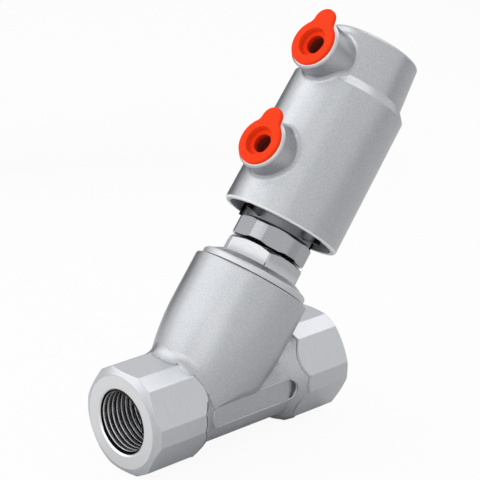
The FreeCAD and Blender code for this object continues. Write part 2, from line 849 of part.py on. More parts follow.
def actuator_housing():
    """Housing casting: a tapered barrel closed at the top, with two bosses for the air ports."""
    body = new_body("actuator_housing")
    turned(
        body,
        [
            (0, rim_base),
            (rim_radius - rim_bevel, rim_base),
            (rim_radius, rim_base + rim_bevel),
            (barrel_top_radius, shoulder_base),
            (crown_radius, shoulder_base + shoulder_height),
            (crown_top_radius, housing_top - crown_round, crown_round),
            (crown_top_radius - crown_round, housing_top),
            (0, housing_top),
        ],
    )
    sketch = sketch_on(body, "YZ_Plane")
    draw_circle(sketch, (0, lower_port), boss_radius)
    draw_circle(sketch, (0, upper_port), boss_radius)
    feature(body, "Pad", sketch, Length=boss_reach, Reversed=True)

    def at_boss_root(point):
        gaps = [abs(math.hypot(point.y, point.z - height.value) - boss_radius.value)
                for height in (lower_port, upper_port)]
        outside = crown_top_radius.value / 2 < -point.x < boss_reach.value - edge_bevel.value
        return min(gaps) < seam_tolerance and outside

    def around_barrel(point):
        radius = math.hypot(point.x, point.y)
        near = (abs(point.z - shoulder_base.value) < seam_tolerance
                and abs(radius - barrel_top_radius.value) < seam_tolerance)
        return near or (abs(point.z - (shoulder_base + shoulder_height).value) < seam_tolerance
                        and abs(radius - crown_radius.value) < seam_tolerance)

    dress(body, "Fillet", shoulder_round, lambda edge: along_edge(edge, around_barrel))
    dress(body, "Fillet", boss_root_round, lambda edge: along_edge(edge, at_boss_root))
    dress(body, "Chamfer", boss_face_bevel, lambda edge: along_edge(
        edge, lambda point: abs(point.x + boss_reach.value) < seam_tolerance))
    chamber_base = shoulder_base - cylinder_end_wall
    turned(
        body,
        [
            (0, rim_base),
            (mouth_radius, rim_base),
            (mouth_radius, plate_top),
            (cylinder_radius, plate_top),
            (cylinder_radius, chamber_base),
            (
                spring_chamber_radius,
                chamber_base + spring_chamber_inset * tangent(spring_chamber_bevel),
            ),
            (spring_chamber_radius, ceiling),
            (0, ceiling),
        ],
        "Groove",
    )
    for radius, depth in (
        (port_radius, port_depth),
        (air_hole_radius, boss_reach - spring_chamber_radius + air_hole_radius),
    ):
        sketch = sketch_on(body, "YZ_Plane", lift=-boss_reach)
        draw_circle(sketch, (0, lower_port), radius)
        draw_circle(sketch, (0, upper_port), radius)
        feature(body, "Pocket", sketch, Length=depth, Reversed=True)
    keep(on_lean(body), "actuator_housing")


def end_cover():
    """Cover screwed into the mouth of the housing: plate, hub for the bonnet spigot and ribs."""
    body = new_body("end_cover")
    plate = mouth_radius - thread_clearance
    seal_reach = mouth_radius - seal_clearance - cover_seal_section - seal_clearance
    seal_half = cover_seal_section / 2 + groove_play
    seal_middle = plate_top - cover_seal_drop
    bush_floor = plate_top - cover_bush_length
    bore_top = bush_floor - cover_floor
    bore = stem_radius + stem_gap
    stem_seal_outer = stem_radius + stem_seal_section + seal_clearance * 2
    stem_seal_half = stem_seal_section / 2 + groove_play
    stem_seal_middle = bore_top + cover_floor / 2
    turned(
        body,
        [
            (spigot_radius, hub_base),
            (hub_radius - hub_bevel, hub_base),
            (hub_radius, hub_base + hub_bevel),
            (hub_radius, plate_base),
            (plate, plate_base),
            (plate, seal_middle - seal_half),
            (seal_reach, seal_middle - seal_half),
            (seal_reach, seal_middle + seal_half),
            (plate, seal_middle + seal_half),
            (plate, plate_top),
            (cover_bush_radius, plate_top),
            (cover_bush_radius, bush_floor),
            (bore, bush_floor),
            (bore, stem_seal_middle + stem_seal_half),
            (stem_seal_outer, stem_seal_middle + stem_seal_half),
            (stem_seal_outer, stem_seal_middle - stem_seal_half),
            (bore, stem_seal_middle - stem_seal_half),
            (bore, bore_top),
            (spigot_radius, bore_top),
        ],
    )
    sketch = sketch_on(body)
    reach = mouth_radius - rib_clearance
    inside = (spigot_radius + hub_radius) / 2
    draw(sketch, box_outline(inside, hub_base + rib_rise, reach, plate_base + rib_rise))
    rib = feature(body, "Pad", sketch, Length=rib_thickness, Midplane=True)
    document.recompute()
    ribs = body.newObject("PartDesign::PolarPattern", "end_cover_ribs")
    ribs.Originals = [rib]
    ribs.Axis = (sketch, ["V_Axis"])
    ribs.Angle = 360
    ribs.Occurrences = rib_count
    body.Tip = ribs
    keep(on_lean(body), "end_cover")
    seal_ring(
        "cover_seal", mouth_radius - seal_clearance - cover_seal_section / 2, seal_middle,
        cover_seal_section,
    )
    seal_ring(
        "stem_seal", stem_radius + seal_clearance + stem_seal_section / 2, stem_seal_middle,
        stem_seal_section,
    )
    ring_piece("cover_bush", box_outline(
        stem_radius + stem_clearance, bush_floor, cover_bush_radius - fit_clearance, plate_top
    ))


def piston_group():
    """Piston with its seal and wear ring, clamped on the stem by a washer and a nut."""
    outer = cylinder_radius - piston_clearance
    bore = piston_stud_radius + fit_clearance
    seal_reach = cylinder_radius - seal_clearance * 2 - piston_seal_section
    seal_middle = piston_base + piston_seal_rise
    seal_half = piston_seal_section / 2 + groove_play
    wear_low = piston_base + wear_ring_rise
    wear_high = wear_low + wear_ring_height
    wear_outer = cylinder_radius - seal_clearance
    wear_inner = wear_outer - wear_ring_thickness
    recess = spring_wire_radius + spring_seat_clearance
    recess_floor = piston_top - spring_seat_depth
    ring_piece("piston", [
        (bore, piston_base),
        (outer - edge_bevel, piston_base),
        (outer, piston_base + edge_bevel),
        (outer, wear_low),
        (wear_inner - fit_clearance, wear_low),
        (wear_inner - fit_clearance, wear_high),
        (outer, wear_high),
        (outer, seal_middle - seal_half),
        (seal_reach, seal_middle - seal_half),
        (seal_reach, seal_middle + seal_half),
        (outer, seal_middle + seal_half),
        (outer, piston_top - edge_bevel),
        (outer - edge_bevel, piston_top),
        (spring_radius + recess, piston_top),
        (spring_radius + recess, recess_floor),
        (spring_radius - recess, recess_floor),
        (spring_radius - recess, piston_top),
        (bore, piston_top),
    ])
    seal_ring(
        "piston_seal", cylinder_radius - seal_clearance - piston_seal_section / 2, seal_middle,
        piston_seal_section,
    )
    body = new_body("wear_ring")
    turned(body, box_outline(wear_inner, wear_low, wear_outer, wear_high))
    sketch = sketch_on(body, "XY_Plane", lift=wear_high)
    half = wear_ring_gap / 2
    draw(sketch, [(0, -half), (cylinder_radius * 2, -half), (cylinder_radius * 2, half), (0, half)])
    feature(body, "Pocket", sketch, Length=wear_ring_height)
    keep(on_lean(body), "wear_ring")
    washer_top = piston_top + washer_thickness
    ring_piece("piston_washer", box_outline(bore, piston_top, washer_radius, washer_top))
    corner = piston_nut_flats / (cosine(as_size(30)) * 2)
    hex_nut(
        "piston_nut", piston_nut_flats, corner * nut_corner_share, as_size(0),
        washer_top, washer_top + piston_nut_height, bore, False, True,
    )


def return_spring():
    """Compression spring with ground ends, between the piston and the end of its chamber."""
    body = new_body("return_spring")
    low = piston_top - spring_seat_depth
    sketch = sketch_on(body)
    spots = []
    for step in range(spring_wire_sides):
        angle = as_size(360 / spring_wire_sides * (step + 0.5))
        across = spring_radius + spring_wire_radius * cosine(angle)
        spots.append((across, low + spring_wire_radius * sine(angle)))
    draw(sketch, spots)
    coil = body.newObject("PartDesign::AdditiveHelix", "return_spring_coil")
    coil.Profile = sketch
    coil.ReferenceAxis = (sketch, ["V_Axis"])
    coil.Mode = 0
    bind(coil, Pitch=(ceiling - low) / spring_turns, Height=ceiling - low)
    beyond = cylinder_radius
    turned(body, box_outline(0, low - beyond, beyond, low), "Groove")
    turned(body, box_outline(0, ceiling, beyond, ceiling + beyond), "Groove")
    keep(on_lean(body), "return_spring")


def port_cap(label, level):
    """Push-in plug of soft plastic: a hollow barrel under a disc with a pull tab."""
    body = new_body(label)
    swell = cap_radius + cap_tab_fillet
    tab_swell = cap_tab_radius + cap_tab_fillet
    across = (swell * swell - tab_swell * tab_swell + cap_tab_reach * cap_tab_reach)
    across = across / (cap_tab_reach * 2)
    aside = root(swell * swell - across * across)
    disc_x = across * cap_radius / swell
    disc_y = aside * cap_radius / swell
    tab_x = cap_tab_reach + (across - cap_tab_reach) * cap_tab_radius / tab_swell
    tab_y = aside * cap_tab_radius / tab_swell
    sketch = sketch_on(body, "XY_Plane")
    draw(
        sketch,
        [
            (disc_x, disc_y, cap_radius),
            (-cap_radius, 0, cap_radius),
            (disc_x, -disc_y, -cap_tab_fillet),
            (tab_x, -tab_y, cap_tab_radius),
            (cap_tab_reach + cap_tab_radius, 0, cap_tab_radius),
            (tab_x, tab_y, -cap_tab_fillet),
        ],
    )
    feature(body, "Pad", sketch, Length=cap_thickness)
    dress(body, "Chamfer", cap_edge_bevel, lambda edge: along_edge(
        edge, lambda point: abs(point.z - cap_thickness.value) < seam_tolerance))
    barrel = port_radius - cap_barrel_clearance
    overlap = cap_thickness / 2
    turned(body, [
        (0, -cap_barrel_length),
        (barrel - edge_bevel, -cap_barrel_length),
        (barrel, edge_bevel - cap_barrel_length),
        (barrel, overlap),
        (0, overlap),
    ])
    turned(
        body,
        [
            (0, cap_thickness),
            (0, cap_thickness - cap_hole_depth),
            (cap_hole_radius, cap_thickness - cap_hole_depth),
            (cap_hole_radius, cap_thickness - cap_recess_depth),
            (cap_recess_radius, cap_thickness - cap_recess_depth),
            (cap_recess_radius, cap_thickness),
        ],
        "Groove",
    )
    shift_x = crossing + level * cosine(lean) - boss_reach * sine(lean)
    shift_z = level * sine(lean) + boss_reach * cosine(lean)
    body.Placement = Placement(Vector(), Rotation(Vector(0, -1, 0), lean.value))
    body.setExpression("Placement.Rotation.Angle", lean.text)
    body.setExpression("Placement.Base.x", shift_x.text)
    body.setExpression("Placement.Base.z", shift_z.text)
    keep(body, label)


valve_body()
body_gasket()
bonnet()
ring_piece("bonnet_bush", box_outline(
    stem_radius + stem_clearance, shank_base, bush_radius - fit_clearance, shank_base + bush_length
))
gland_nut(packing())
hex_nut(
    "lock_nut", wrench_flats, nut_corner_radius, nut_turn, nut_base, hub_base, spigot_radius,
    True, True,
)
end_cover()
actuator_housing()
port_cap("port_cap_lower", lower_port)
port_cap("port_cap_upper", upper_port)
return_spring()
stem()
plug_group()
piston_group()
document.recompute()
for item in document.Objects:
    if "Invalid" in item.State or "Error" in item.State:
        raise RuntimeError("%s: %s" % (item.Label, item.State))
os.makedirs("parts", exist_ok=True)
for piece in pieces:
    shape = piece.Shape
    if shape.isNull() or not shape.isValid():
        raise RuntimeError("%s has no valid shape" % piece.Label)
    print(piece.Label, len(shape.Solids), round(shape.Volume, 1), shape.BoundBox)
    shape.exportStep("parts/%s.step" % piece.Label)
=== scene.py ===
import math

import bmesh
import bpy
import numpy as np
from mathutils import Matrix, Vector
from mathutils.bvhtree import BVHTree
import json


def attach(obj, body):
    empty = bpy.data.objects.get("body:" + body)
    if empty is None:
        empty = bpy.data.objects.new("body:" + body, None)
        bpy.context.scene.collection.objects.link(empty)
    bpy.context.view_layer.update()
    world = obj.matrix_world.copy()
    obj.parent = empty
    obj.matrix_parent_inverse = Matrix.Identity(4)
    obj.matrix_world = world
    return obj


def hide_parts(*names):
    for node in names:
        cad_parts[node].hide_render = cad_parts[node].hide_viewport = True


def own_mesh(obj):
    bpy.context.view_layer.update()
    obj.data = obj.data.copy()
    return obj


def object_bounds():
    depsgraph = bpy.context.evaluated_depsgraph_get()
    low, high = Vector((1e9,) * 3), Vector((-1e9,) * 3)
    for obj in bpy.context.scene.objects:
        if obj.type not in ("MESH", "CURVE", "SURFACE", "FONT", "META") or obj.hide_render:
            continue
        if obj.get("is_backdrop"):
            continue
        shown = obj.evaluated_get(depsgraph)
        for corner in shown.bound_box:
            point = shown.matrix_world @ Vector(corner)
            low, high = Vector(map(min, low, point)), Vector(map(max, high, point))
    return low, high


# Looks of a small pneumatic filling valve: the cast body and actuator housing with their
# blasted skins, the turned bonnet and nut, the pipe threads and the red push-in port caps.
# Lengths are in metres, MM turns a drawing size into one.

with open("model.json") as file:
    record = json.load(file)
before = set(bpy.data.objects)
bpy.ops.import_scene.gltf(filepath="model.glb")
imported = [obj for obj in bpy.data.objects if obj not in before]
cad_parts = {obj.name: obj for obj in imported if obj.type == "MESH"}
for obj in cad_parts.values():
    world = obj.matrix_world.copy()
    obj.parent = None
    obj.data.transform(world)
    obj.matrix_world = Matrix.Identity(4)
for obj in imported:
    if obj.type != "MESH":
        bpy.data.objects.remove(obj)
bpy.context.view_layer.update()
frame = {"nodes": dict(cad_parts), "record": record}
nodes = frame["nodes"]

MM = 0.001

# The flow runs along x from the inlet's face. The stem's axis leans out of it at CROSSING, and
# the air ports point along BOSS_WAY.
RUN_LENGTH = 85.0 * MM
FLOW_START = Vector((0, 0, 0))
FLOW_WAY = Vector((1, 0, 0))
CROSSING = Vector((28.4 * MM, 0, 0))
LEAN = math.radians(52.5)
AXIS = Vector((math.cos(LEAN), 0, math.sin(LEAN)))
BOSS_WAY = Vector((-math.sin(LEAN), 0, math.cos(LEAN)))

# Flow tube between its two cast shoulders, which widen as cones to the twelve-sided ends.
TUBE_RADIUS = 15.1 * MM
TUBE_START = 26.2 * MM
TUBE_END = 59.6 * MM
SHOULDER_RISE = math.tan(math.radians(25))
HEX_FLATS = 33.5 * MM
HEX_CORNER_FLATS = 35.3 * MM  # across the narrow flats that cut the hexagon's corners
# Each flat's angle round the flow and its distance from it.
FLATS = [(math.radians(30 * step), (HEX_CORNER_FLATS, HEX_FLATS)[step % 2] / 2)
         for step in range(12)]

# Which faces of the body casting count as machined.
CUT_SLACK = 0.3 * MM  # the farthest that one lies off a flat or an end
FLAT_TILT = 0.3  # the most that a flat's normal points along the flow
END_TILT = 0.97  # the least that an end's does
CHAMFER_LENGTH = 3 * MM  # the chamfers of the ends, from the end and out from the flow
CHAMFER_RADIUS = 15 * MM
BORE_DEPTH = 15.5 * MM
BORE_SLACK = 0.7 * MM
MOUTH_BEVEL = 0.62 * MM  # past it the bore is painted dark, as shade

# Painted shade along the foot of a cast shoulder, for the shadow of the step where the cutter
# stopped, by its depth under the shoulder's cone.
SHADE_LINE_DARK = 0.19 * MM  # dark up to here
SHADE_LINE_CLEAR = 0.28 * MM  # unshaded from here
SHADE_LINE_TOP = 6 * MM  # the neck covers the inlet's shoulder above this height

# Pipe thread, a ridge wound into the wall of the bore.
THREAD_RADIUS = 10.48 * MM
THREAD_CREST = 9.32 * MM
THREAD_PITCH = 1.814 * MM
THREAD_START = 0.9 * MM
THREAD_LENGTH = 14.0 * MM
RIDGE_SEAT = 0.25 * MM  # how deep the ridge sits in the wall
CREST_ROUND = 0.12 * MM
CREST_LOSS = 0.1 * MM  # what the rounding takes off the crest

# Soft root of the neck: the skin is relaxed on both sides of the seam.
SKIN_PITCH = 0.42 * MM
SEAM_HOLLOW = 0.1  # how far under its neighbours' mean, in pitches, a point of the seam lies
ROOT_REACH = 3.0 * MM  # how far from the seam the skin moves
ROOT_EDGE = 0.8 * MM  # the last of that reach, over which it comes to rest
ROOT_ROUNDS = 220
ROOT_PULL = 0.6  # share of the way to its neighbours' mean that a point goes in a round
ROOT_LAP = 0.012 * MM  # what doesn't stand this proud is cut off
ROOT_SINK = 0.8  # share of the lap by which the rest sinks in
# Where the root lies, along the flow and in height.
ROOT_START = 8 * MM
ROOT_END = 33 * MM
ROOT_LOW = 4 * MM
ROOT_RUN_OUT = 11 * MM  # the rounding is gone at this height
ROOT_FADE = 3 * MM  # and whole this far above it
# The passages, which have seams of their own: radii, and where the neck's starts.
TUBE_INSIDE = 13.5 * MM
NECK_INSIDE = 15.5 * MM
NECK_INSIDE_FROM = 12 * MM

# Lips along the shoulders and round the panel on the side of the flow tube.
LIP = 0.3 * MM
FINE_LIP = 0.15 * MM
LIP_SIDES = 10
TIP_POINTS = 6  # points over which an open lip tapers
TIP_START = 0.2  # what its first point counts as
FLAT_GAP = 0.01 * MM  # how far a lip stays above the lowest flat
PANEL_START = 24.6 * MM
PANEL_END = 62.0 * MM
PANEL_MIDDLE = -0.9 * MM
PANEL_HALF = 3.8 * MM
PANEL_MARGIN = 0.1 * MM  # how far outside the panel its lip runs
PANEL_STEPS = 480
BELLY_RISE = 0.15 * MM  # the neck's belly starts where the skin is this far above the tube

# Housing and bonnet, measured from CROSSING along the stem's axis and out from it.
HOUSING_MOUTH = 62.6 * MM
MOUTH_RADIUS = 18.3 * MM
MOUTH_BAND = 0.6 * MM  # height of the turned rim
WALL_SLACK = 0.2 * MM
WALL_FROM = 0.4 * MM  # stretch of the inner wall that is turned, from the mouth
WALL_TO = 12 * MM
BOSS_FACE = 26.6 * MM
BOSS_BAND = 0.4 * MM  # depth of the turned edge under a boss's face
HEX_BASE = 47.3 * MM
SHANK_RADIUS = 10.3 * MM

# Port caps: the outer face of their flange, and depths of the hole under it.
CAP_FACE = BOSS_WAY.dot(CROSSING) + BOSS_FACE + 1.3 * MM
HOLE_LIT = 2 * MM
HOLE_DARK = 4.5 * MM

# Return spring, from the piston up to the top of its chamber.
SPRING_FOOT = 91.5 * MM
SPRING_TOP = 126.4 * MM
SPRING_RADIUS = 11.6 * MM
SPRING_TURNS = 5.5
WIRE_RADIUS = 1.3 * MM

# Radii of the broken edges, the angle from which an edge is broken, and the one up to which
# two facets are one face.
EDGE = 0.15 * MM
FINE_EDGE = 0.12 * MM
BODY_EDGE = 0.22 * MM
SHARP = math.radians(20)
LEVEL = math.radians(0.3)

# The photograph's camera, found from the outlines in it, and the studio round the valve.
LOOK_AT = Vector((51.0, 2.3, 47.9)) * MM
CAMERA_PLACE = Vector((-348.6, -409.0, 261.5)) * MM
CAMERA_ROLL = math.radians(2.04)
CAMERA_LENS = 143.74
FLOOR_SIDE = 6.0
FLOOR_GLOW = 0.93  # share of plain white in the floor that the camera sees
ROOM_LIGHT = 0.65  # strength of the room as a light; seen or mirrored it is 1


def linear(code):
    """A colour written as sRGB hex, as the linear colour that the shaders take."""
    parts = [int(code[i:i + 2], 16) / 255 for i in (1, 3, 5)]
    parts = [p / 12.92 if p <= 0.04045 else ((p + 0.055) / 1.055) ** 2.4 for p in parts]
    return (*parts, 1.0)


def add(tree, kind, settings=None, **sockets):
    """Add a node: its settings, then its sockets, each a value or an output to link. A socket
    goes by its name with _ for a blank, or by its number after a _."""
    item = tree.nodes.new(kind)
    for key, value in (settings or {}).items():
        setattr(item, key, value)
    for key, value in sockets.items():
        socket = item.inputs[int(key[1:])] if key[0] == "_" else item.inputs[key.replace("_", " ")]
        if isinstance(value, bpy.types.NodeSocket):
            tree.links.new(value, socket)
        else:
            socket.default_value = value
    return item


def new_material(name):
    """An empty material, its tree, and the place on the object that its patterns read."""
    material = bpy.data.materials.new(name)
    material.use_nodes = True
    tree = material.node_tree
    tree.nodes.clear()
    return material, tree, add(tree, "ShaderNodeTexCoord").outputs["Object"]


def surfaced(material, **sockets):
    """The material with its surface shader, whose sockets are given."""
    tree = material.node_tree
    shader = add(tree, "ShaderNodeBsdfPrincipled", **sockets)
    add(tree, "ShaderNodeOutputMaterial", Surface=shader.outputs[0])
    return material


def tint(tree, pattern, dark, light):
    """A colour that runs from dark to light over the values that a noise mostly has."""
    ramp = add(tree, "ShaderNodeValToRGB", Fac=pattern)
    for stop, position, code in zip(ramp.color_ramp.elements, (0.3, 0.7), (dark, light)):
        stop.position = position
        stop.color = linear(code)
    return ramp.outputs["Color"]


def blasted_stainless():
    """Investment-cast stainless steel, bead blasted: each bead leaves a shallow dent, so the
    skin glitters in fine grains over the slow swells of the casting."""
    material, tree, place = new_material("blasted_cast_stainless")
    # Beads leave dents of about 0.15 mm, drawn at 0.4 mm so that they show.
    grain = add(tree, "ShaderNodeTexNoise", Vector=place, Scale=1 / (0.42 * MM), Detail=4.0,
                Roughness=0.62).outputs["Fac"]
    # The wax pattern's own unevenness, about 7 mm from swell to swell.
    swell = add(tree, "ShaderNodeTexNoise", Vector=place, Scale=1 / (7 * MM),
                Detail=2.0).outputs["Fac"]
    sheen = add(tree, "ShaderNodeMapRange", Value=swell, To_Min=0.3, To_Max=0.4)
    low = add(tree, "ShaderNodeBump", Strength=0.25, Distance=0.12 * MM, Height=swell)
    fine = add(tree, "ShaderNodeBump", Strength=0.55, Distance=0.03 * MM, Height=grain,
               Normal=low.outputs[0])
    return surfaced(material, Base_Color=tint(tree, grain, "#A6A8AC", "#BCBEC1"),
                    Roughness=sheen.outputs[0], Normal=fine.outputs[0], Metallic=1.0)


def milled_stainless():
    """Stainless flats finished with a face mill and lightly tumbled: smooth, with faint marks
    across the cut and edges that catch the light."""
    material, tree, place = new_material("milled_stainless")
    # Feed marks about 0.5 mm apart, along the flow axis.
    stretch = add(tree, "ShaderNodeMapping", Vector=place, Scale=(1, 0.12, 0.12)).outputs[0]
    marks = add(tree, "ShaderNodeTexNoise", Vector=stretch, Scale=1 / (0.5 * MM),
                Detail=3.0).outputs["Fac"]
    # Painted shade: the flats darken along the cast shoulder, for the shadow of the step where the
    # cutter stopped.
    # A point lies in that shade when it is hardly below the shoulder's cone.
    x, y, z = add(tree, "ShaderNodeSeparateXYZ", Vector=place).outputs
    across = add(tree, "ShaderNodeCombineXYZ", X=y, Y=z)
    radius = add(tree, "ShaderNodeVectorMath", {"operation": "LENGTH"}, _0=across.outputs[0])
    before = add(tree, "ShaderNodeMath", {"operation": "SUBTRACT"}, _0=TUBE_START, _1=x)
    # Where the neck covers the inlet's shoulder, the cone is moved out of the way.
    above = add(tree, "ShaderNodeMath", {"operation": "SUBTRACT"}, _0=z, _1=SHADE_LINE_TOP)
    above = add(tree, "ShaderNodeMath", {"operation": "MAXIMUM"}, _0=above.outputs[0], _1=0.0)
    before = add(tree, "ShaderNodeMath", {"operation": "ADD"}, _0=before.outputs[0],
                 _1=above.outputs[0])
    behind = add(tree, "ShaderNodeMath", {"operation": "SUBTRACT"}, _0=x, _1=TUBE_END)
    past = add(tree, "ShaderNodeMath", {"operation": "MAXIMUM"}, _0=before.outputs[0],
               _1=behind.outputs[0])
    cone = add(tree, "ShaderNodeMath", {"operation": "MULTIPLY_ADD"}, _0=past.outputs[0],
               _1=SHOULDER_RISE, _2=TUBE_RADIUS)
    under = add(tree, "ShaderNodeMath", {"operation": "SUBTRACT"}, _0=cone.outputs[0],
                _1=radius.outputs["Value"])
    unshaded = add(tree, "ShaderNodeMapRange", Value=under.outputs[0], From_Min=SHADE_LINE_DARK,
                From_Max=SHADE_LINE_CLEAR, To_Min=0.2, To_Max=1.0)
    colour = add(tree, "ShaderNodeVectorMath", {"operation": "SCALE"},
                 _0=tint(tree, marks, "#BCBEC2", "#C1C3C7"), Scale=unshaded.outputs[0])
    sheen = add(tree, "ShaderNodeMapRange", Value=marks, To_Min=0.28, To_Max=0.32)
    bump = add(tree, "ShaderNodeBump", Strength=0.02, Distance=0.01 * MM, Height=marks)
    return surfaced(material, Base_Color=colour.outputs[0], Roughness=sheen.outputs[0],
                    Normal=bump.outputs[0], Metallic=1.0)


def turned_stainless(name, dark, light, low, high, centre=CROSSING, axis=AXIS, painted_shade_from=0.0,
                     unshaded_to=0.0):
    """Stainless steel from the lathe: fine rings round the axis that the tool left. Where a radius
    is given, painted shade blackens it beyond that radius, for the shadow at the bottom of a
    thread or of a deep gap, and it is unshaded up to the other radius."""
    material, tree, place = new_material(name)
    upright = axis.rotation_difference(Vector((0, 0, 1)))
    moved = add(tree, "ShaderNodeVectorMath", {"operation": "SUBTRACT"}, _0=place, _1=centre)
    straight = add(tree, "ShaderNodeVectorRotate", {"rotation_type": "EULER_XYZ"},
                   Vector=moved.outputs[0], Rotation=upright.to_euler())
    x, y, z = add(tree, "ShaderNodeSeparateXYZ", Vector=straight.outputs[0]).outputs
    across = add(tree, "ShaderNodeCombineXYZ", X=x, Y=y)
    radius = add(tree, "ShaderNodeVectorMath", {"operation": "LENGTH"},
                 _0=across.outputs[0]).outputs["Value"]
    # Rings follow radius and height together, so they show on faces and on round sides.
    track = add(tree, "ShaderNodeCombineXYZ", X=radius, Z=z)
    # A finishing feed of 0.1 mm is too fine to show, so the rings are drawn 0.3 mm apart.
    rings = add(tree, "ShaderNodeTexNoise", Vector=track.outputs[0], Scale=1 / (0.3 * MM),
                Detail=2.0).outputs["Fac"]
    colour = tint(tree, rings, dark, light)
    # Painted shade: black beyond the given radius, for the shadow deep in a gap or a thread.
    if painted_shade_from:
        unshaded = add(tree, "ShaderNodeMapRange", Value=radius, From_Min=painted_shade_from,
                    From_Max=unshaded_to, To_Min=0.02, To_Max=1.0)
        colour = add(tree, "ShaderNodeVectorMath", {"operation": "SCALE"}, _0=colour,
                     Scale=unshaded.outputs[0]).outputs[0]
    sheen = add(tree, "ShaderNodeMapRange", Value=rings, To_Min=low, To_Max=high)
    bump = add(tree, "ShaderNodeBump", Strength=0.15, Distance=0.01 * MM, Height=rings)
    return surfaced(material, Base_Color=colour, Roughness=sheen.outputs[0],
                    Normal=bump.outputs[0], Metallic=1.0)


def cap_plastic():
    """Soft polyethylene, injection moulded in a lightly grained tool: satin."""
    material, tree, place = new_material("orange_red_polyethylene")
    # The tool's grain of about 0.1 mm is drawn at 0.5 mm so that it shows.
    grain = add(tree, "ShaderNodeTexNoise", Vector=place, Scale=1 / (0.5 * MM),
                Detail=3.0).outputs["Fac"]
    # The blind hole swallows the light: the colour darkens with the depth below the cap's face.
    out = add(tree, "ShaderNodeVectorMath", {"operation": "DOT_PRODUCT"}, _0=place, _1=BOSS_WAY)
    lit = add(tree, "ShaderNodeMapRange", Value=out.outputs["Value"],
              From_Min=CAP_FACE - HOLE_DARK, From_Max=CAP_FACE - HOLE_LIT, To_Min=0.12, To_Max=1.0)
    colour = add(tree, "ShaderNodeVectorMath", {"operation": "SCALE"},
                 _0=tint(tree, grain, "#FF3A06", "#FF4412"), Scale=lit.outputs[0])
    sheen = add(tree, "ShaderNodeMapRange", Value=grain, To_Min=0.45, To_Max=0.55)
    bump = add(tree, "ShaderNodeBump", Strength=0.2, Distance=0.02 * MM, Height=grain)
    return surfaced(material, Base_Color=colour.outputs[0], Roughness=sheen.outputs[0],
                    Normal=bump.outputs[0], IOR=1.51, Specular_IOR_Level=0.1)


def grained(name, dark, light, roughness, grain_size, relief, **sockets):
    """A material with one even grain, which its colour, its sheen and its relief follow."""
    material, tree, place = new_material(name)
    grain = add(tree, "ShaderNodeTexNoise", Vector=place, Scale=1 / grain_size,
                Detail=3.0).outputs["Fac"]
    sheen = add(tree, "ShaderNodeMapRange", Value=grain, To_Min=roughness - 0.05,
                To_Max=roughness + 0.05)
    bump = add(tree, "ShaderNodeBump", Strength=relief, Distance=0.01 * MM, Height=grain)
    return surfaced(material, Base_Color=tint(tree, grain, dark, light),
                    Roughness=sheen.outputs[0], Normal=bump.outputs[0], **sockets)


# Cast skin and milled flats.
cast = blasted_stainless()
milled = milled_stainless()

# Faced with a fine feed: pale, with a soft shine.
end_turned = turned_stainless("turned_end_stainless", "#DCDDDE", "#E6E7E8", 0.26, 0.34,
                              centre=FLOW_START, axis=FLOW_WAY)
# Faces of the bosses, a shade greyer and duller than the ends.
rim_turned = turned_stainless("turned_rim_stainless", "#B4B5B8", "#BEBFC2", 0.34, 0.4)
# Bored with a coarse feed and matte; its grey is raised to near white as a painted highlight, so
# the mouth and the wall inside look white.
matte_turned = turned_stainless("matte_turned_stainless", "#E6E7E8", "#F0F0F1", 0.6, 0.7)
# Fine turned and left satin, which sets the flange off from its bright hexagon.
flange_steel = turned_stainless("fine_turned_flange_stainless", "#BFC0C3", "#CACBCE", 0.42, 0.5)
# Thread of the bonnet, deep in its gap: painted shade makes it nearly black.
gap_shade = turned_stainless("oily_dark_stainless", "#141415", "#1C1C1E", 0.5, 0.6)
# Polished after turning: it mirrors the room in dark and light bands.
bonnet_steel = turned_stainless("polished_turned_stainless", "#B5B6B9", "#BFC0C3", 0.16, 0.24)
# Cold-drawn bar, milled and barrelled: darker, with a satin shine.
nut_steel = turned_stainless("satin_nut_stainless", "#9D9FA3", "#A6A8AC", 0.2, 0.26)
# Turned and left dull; its plate lies deep in the mouth of the housing, so its grey is darkened as
# painted shade, and painted shade blackens its outer edge by the wall.
cover_steel = turned_stainless("dull_cover_stainless", "#6E6F73", "#808185", 0.36, 0.46,
                               painted_shade_from=16.6 * MM, unshaded_to=14.6 * MM)
# Stem and other inner turned pieces, ground and polished for their seals: the smoothest.
stem_steel = turned_stainless("ground_stem_stainless", "#BFC0C3", "#CFD0D3", 0.12, 0.18)
# Fresh cut: the crests of the pipe threads are near white as a painted highlight, and painted
# shade blackens their flanks towards the root.
thread_steel = turned_stainless("cut_thread_stainless", "#F4F4F5", "#FAFAFA", 0.16, 0.24,
                                centre=FLOW_START, axis=FLOW_WAY, painted_shade_from=9.86 * MM,
                                unshaded_to=9.66 * MM)
# Wall of the bore between the ridges and past the mouth's bevel: painted shade, dark.
bore_shade = turned_stainless("dark_thread_root", "#2A2A2C", "#343436", 0.5, 0.6,
                               centre=FLOW_START, axis=FLOW_WAY)
cap_red = cap_plastic()

# Skived from a pressed rod: milky white, with a faint cloud about 2 mm wide.
white_ptfe = grained("skived_ptfe", "#E4E3DD", "#EFEEE9", 0.42, 2 * MM, 0.2, IOR=1.35)
# Moulded nitrile: black and dull, with the mould's fine grain drawn at 0.4 mm so that it shows.
black_rubber = grained("moulded_nitrile_rubber", "#161616", "#222222", 0.6, 0.4 * MM, 0.2,
                       IOR=1.52)
# Sintered from powder: warm brown, with its open pores drawn at 0.2 mm so that they show.
bush_bronze = grained("sintered_bronze", "#A57B3E", "#C0944F", 0.42, 0.2 * MM, 0.3, Metallic=1.0)
# Drawn wire: dark grey, with a low shine. The die's marks are drawn as a grain of 0.4 mm.
spring_steel = grained("drawn_spring_steel", "#77797D", "#8D8F93", 0.3, 0.4 * MM, 0.3,
                       Metallic=1.0)
